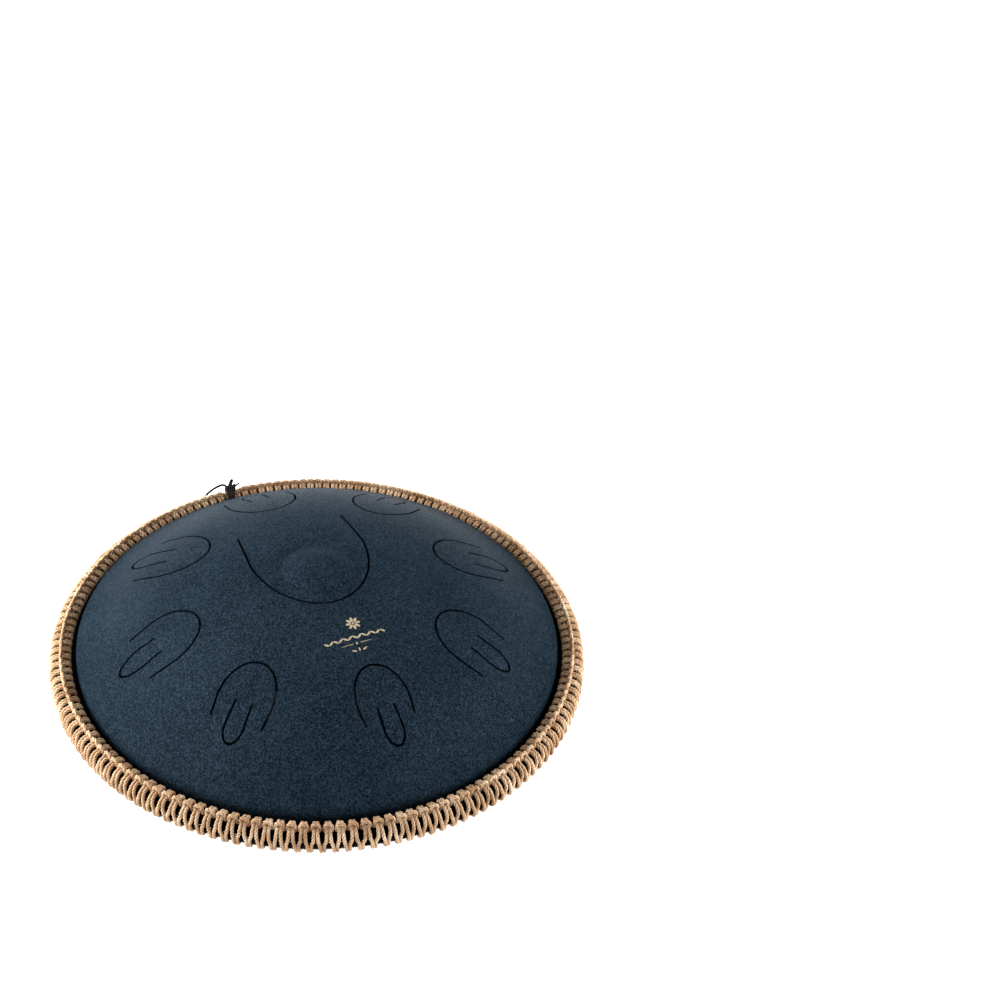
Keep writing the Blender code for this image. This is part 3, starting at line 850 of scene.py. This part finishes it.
def build_hoops(material):
    """The two dark hoop cords inside the knots."""
    for name, (radius, height, tube), node_name in (
        ("upper_hoop_cord", UPPER_HOOP, "upper_hoop"),
        ("lower_hoop_cord", LOWER_HOOP, "lower_hoop"),
    ):
        turns = np.linspace(0, 2 * math.pi, 901)
        path = np.stack([radius * np.cos(turns), radius * np.sin(turns), np.full(len(turns), height)], axis=1)
        mesh = strand_mesh(name, path, tube, 9, groove=0.2, lay=5.0)
        dress(new_object(name, mesh, material), "hoop_cord", node_name)


# ---------------------------------------------------------------- tie


def polar(radius, degrees, height):
    """A point in millimetres from its radius, compass angle and height above the rim."""
    angle = math.radians(degrees)
    return (radius * math.cos(angle), radius * math.sin(angle), height)


def build_tie(material):
    """The dark lace: its turns round the rope, the knot with two cut ends, and the long tail."""
    bow = arc((ROPE_RADIUS - TIE_CORNER, TIE_TOP - TIE_CORNER), TIE_CORNER - LACE / 2, 90, 0, 4)
    leg = TIE_INSIDE + LACE / 2
    upper = [(leg, 5.8), (leg, 8.6), (leg + 0.5, 11.0), (leg + 2.4, TIE_TOP - LACE / 2)] + bow
    section = upper + [(radius, -height) for radius, height in upper[::-1]]
    turns = []
    for turn in range(TIE_TURNS):
        seat = 2 * turn / (TIE_TURNS - 1) - 1
        path = []
        for radius, height in section:
            middle, half_width = tie_middle(radius)
            across = seat * (half_width - LACE / 2) + jitter(0.1)
            path.append(polar(radius, middle + math.degrees(across / radius), height))
        mesh = strand_mesh(f"turn_{turn}", spread(path, 0.7), LACE / 2, 10)
        turns.append(mesh)
    wrap = new_object("tie_wrap_lace", join_meshes("tie_wrap_lace", turns), material)
    dress(wrap, "lace", "tie_wrap")

    centre = np.array(polar(KNOT_PLACE[0], KNOT_ANGLE, KNOT_PLACE[1]))
    out = np.array(polar(1.0, KNOT_ANGLE, 0.0))
    across = np.array(polar(1.0, KNOT_ANGLE + 90, 0.0))
    upward = np.array((0.0, 0.0, 1.0))
    loop = []
    for t in np.linspace(0, 2 * math.pi, 25)[:-1]:
        a = (math.sin(t) + 2 * math.sin(2 * t)) / 3 * (KNOT_REACH[1] - LACE / 2)
        b = (math.cos(t) - 2 * math.cos(2 * t)) / 3 * (KNOT_REACH[2] - LACE / 2)
        c = -math.sin(3 * t) * (KNOT_REACH[0] - LACE / 2)
        loop.append(centre + a * across + b * upward + c * out)
    knot = [strand_mesh("loop", spread(loop, 0.5, closed=True), LACE / 2, 10)]
    for name, route, diameter in (("thick", THICK_ROUTE, THICK_END), ("thin", THIN_ROUTE, THIN_END)):
        path = spread([polar(*point) for point in route], 0.6)
        taper = np.full(len(path), diameter / 2)
        taper[-1], taper[-2] = diameter * 0.34, diameter * 0.47
        knot.append(strand_mesh(name, path, taper, 12))
    knot = new_object("tie_knot_lace", join_meshes("tie_knot_lace", knot), material)
    dress(knot, "lace", "tie_knot")

    route = spread([polar(*point) for point in TAIL_ROUTE], 0.9)
    taper = np.full(len(route), TAIL_DIAMETER / 2)
    taper[-1] = TAIL_DIAMETER * 0.4
    tail = new_object("tie_tail_lace", strand_mesh("tie_tail_lace", route, taper, 12), material)
    dress(tail, "lace", "tie_tail")


# ---------------------------------------------------------------- feet and seal


def build_feet(material):
    """Round rubber bumpers, softened at both edges, their tops following the shell."""
    foot_radius, edge, height = 11.0, 1.2, 9.5
    sides = 48
    face = np.array([(r, -h) for r, h in half_outline(BOTTOM_SLOPE, PORT_RADIUS + PORT_BEND)])[::-1]
    floor = -RIM_Z / MM
    outline = [(0.0, 0.0)] + [(r * (foot_radius - 2.2) / 4, 0.0) for r in range(1, 5)]
    outline += arc((foot_radius - 2.2, edge), edge, 270, 360, 5)[1:]
    outline += line(outline[-1], (foot_radius - 0.35, height - 2.6), 3)
    outline += [(foot_radius, height - 2.2), (foot_radius, None)]
    for number, place in enumerate(FEET, 1):
        vertices, faces, rings = [], [], []
        for radius, level in outline:
            ring = []
            for s in range(sides if radius > 0 else 1):
                turn = 2 * math.pi * s / sides
                x = place.x / MM + radius * math.cos(turn)
                y = place.y / MM + radius * math.sin(turn)
                top = np.interp(math.hypot(x, y), face[:, 0], -face[:, 1])
                z = -top - 0.05 if level is None else floor + level
                ring.append(len(vertices))
                vertices.append((x * MM, y * MM, z * MM + RIM_Z))
            rings.append(ring * sides if radius == 0 else ring)
        for low, high in zip(rings, rings[1:]):
            for s in range(sides):
                corners = [low[s], low[(s + 1) % sides], high[(s + 1) % sides], high[s]]
                faces.append(list(dict.fromkeys(corners)))
        faces.append(rings[-1])
        name = f"foot_{number}_rubber"
        mesh = bpy.data.meshes.new(name)
        mesh.from_pydata(vertices, [], faces)
        mesh.validate()
        smooth(mesh, 40.0)
        dress(new_object(name, mesh, material), "foot_rubber", f"foot_{number}")


# ---------------------------------------------------------------- ornament


def leaf(x, y, length, width, degrees):
    """A pointed leaf's outline, centred on (x, y) and turned."""
    turn = math.radians(degrees)
    outline = []
    for t in np.linspace(0, 2 * math.pi, 15)[:-1]:
        point = 3 if abs(math.cos(t)) > 0.7 else 1
        along, across = length / 2 * math.cos(t), width / 2 * math.sin(t) ** point
        outline.append(
            (
                x + along * math.cos(turn) - across * math.sin(turn),
                y + along * math.sin(turn) + across * math.cos(turn),
            )
        )
    return outline


def ornament_outlines():
    """The ornament's closed outlines: a rosette, a zigzag garland, two tapered strokes and small leaves."""
    shapes = []
    x, y = ROSETTE
    for t in np.linspace(0, 2 * math.pi, ROSETTE_LEAVES + 1)[:-1]:
        seat = (x + ROSETTE_RADIUS * math.cos(t), y + ROSETTE_RADIUS * math.sin(t))
        shapes.append(leaf(*seat, 4.6, 1.9, math.degrees(t)))
    eye, turns = 0.9, np.linspace(0, 2 * math.pi, 13)[:-1]
    shapes.append([(x + eye * math.cos(t), y + eye * math.sin(t)) for t in turns])
    for step in range(-6, 7):
        tilt = GARLAND_TILT if step % 2 else -GARLAND_TILT
        size = 5.4 - 0.16 * abs(step)
        shapes.append(leaf(step * GARLAND_PITCH, GARLAND_ROW, size, 1.5, tilt))
    for sign in (-1, 1):
        stroke = ((3, 0.3), (12, 0.08), (12, -0.08), (3, -0.3))
        shapes.append([(sign * along + PRINT_MIDDLE, STROKE_ROW + width) for along, width in stroke])
        shapes.append(leaf(sign * 4.2 + PRINT_MIDDLE, SPRIG_ROW, 4.4, 1.3, sign * 24))
    shapes.append(leaf(PRINT_MIDDLE, STROKE_ROW, 2.4, 1.3, 90))
    shapes.append(leaf(PRINT_MIDDLE, SPRIG_ROW + 0.4, 3.2, 1.3, 90))
    return shapes


def build_ornament(material):
    """A plain gold ornament, printed on the crown in front of the centre tongue."""
    face = np.array([p for p in top_face() if p[0] < WALL_RADIUS - WALL_BEND])
    build = bmesh.new()
    for outline in ornament_outlines():
        area = sum(a[0] * b[1] - a[1] * b[0] for a, b in zip(outline, outline[1:] + outline[:1]))
        if area < 0:
            outline = outline[::-1]
        corners = []
        for x, y in outline:
            z = np.interp(math.hypot(x, y), face[:, 0], face[:, 1]) + PRINT_FILM
            corners.append(build.verts.new((x * MM, y * MM, z * MM + RIM_Z)))
        build.faces.new(corners)
    mesh = bpy.data.meshes.new("gold_ornament")
    build.to_mesh(mesh)
    build.free()
    piece = new_object("gold_ornament", mesh, material)
    depth = piece.modifiers.new("film", "SOLIDIFY")
    depth.thickness, depth.offset = 0.12 * MM, -1.0
    apply_modifiers(piece)
    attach(piece, "root")


def main():
    """Camera and studio, then every piece of the drum with its material."""
    add_camera()
    add_studio()
    top_coat = coat_material("top_coat", (0.0026, 0.0090, 0.0160), (0.036, 0.062, 0.090))
    bottom_coat = coat_material("bottom_coat", (0.0024, 0.0082, 0.0145), (0.033, 0.057, 0.083))
    rope_tones = (0.21, 0.11, 0.05), (0.56, 0.36, 0.21), (0.92, 0.76, 0.56)
    hoop_tones = (0.006, 0.004, 0.003), (0.010, 0.007, 0.005), (0.018, 0.012, 0.009)
    lace_tones = (0.002, 0.001, 0.001), (0.005, 0.002, 0.002), (0.011, 0.005, 0.005)
    rope = fibre_material("rope_fibre", rope_tones, 14.0, 8.0, 0.6, (0.22, 0.12, 0.06))
    hoop = fibre_material("hoop_cord", hoop_tones, 10.0, 6.0, 0.3, (0.5, 0.5, 0.5))
    lace = fibre_material("lace", lace_tones, 9.0, 5.0, 0.3, (0.6, 0.6, 0.6))
    rubber = rubber_material("foot_rubber", (0.012, 0.012, 0.013))
    seal = rubber_material("seal", (0.010, 0.010, 0.010))
    build_tie(lace)
    build_top_shell(top_coat)
    build_bottom_shell(bottom_coat)
    build_rope(rope)
    build_hoops(hoop)
    build_feet(rubber)
    build_ornament(print_material())
    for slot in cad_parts["rim_bond"].material_slots:
        slot.material = seal


main()
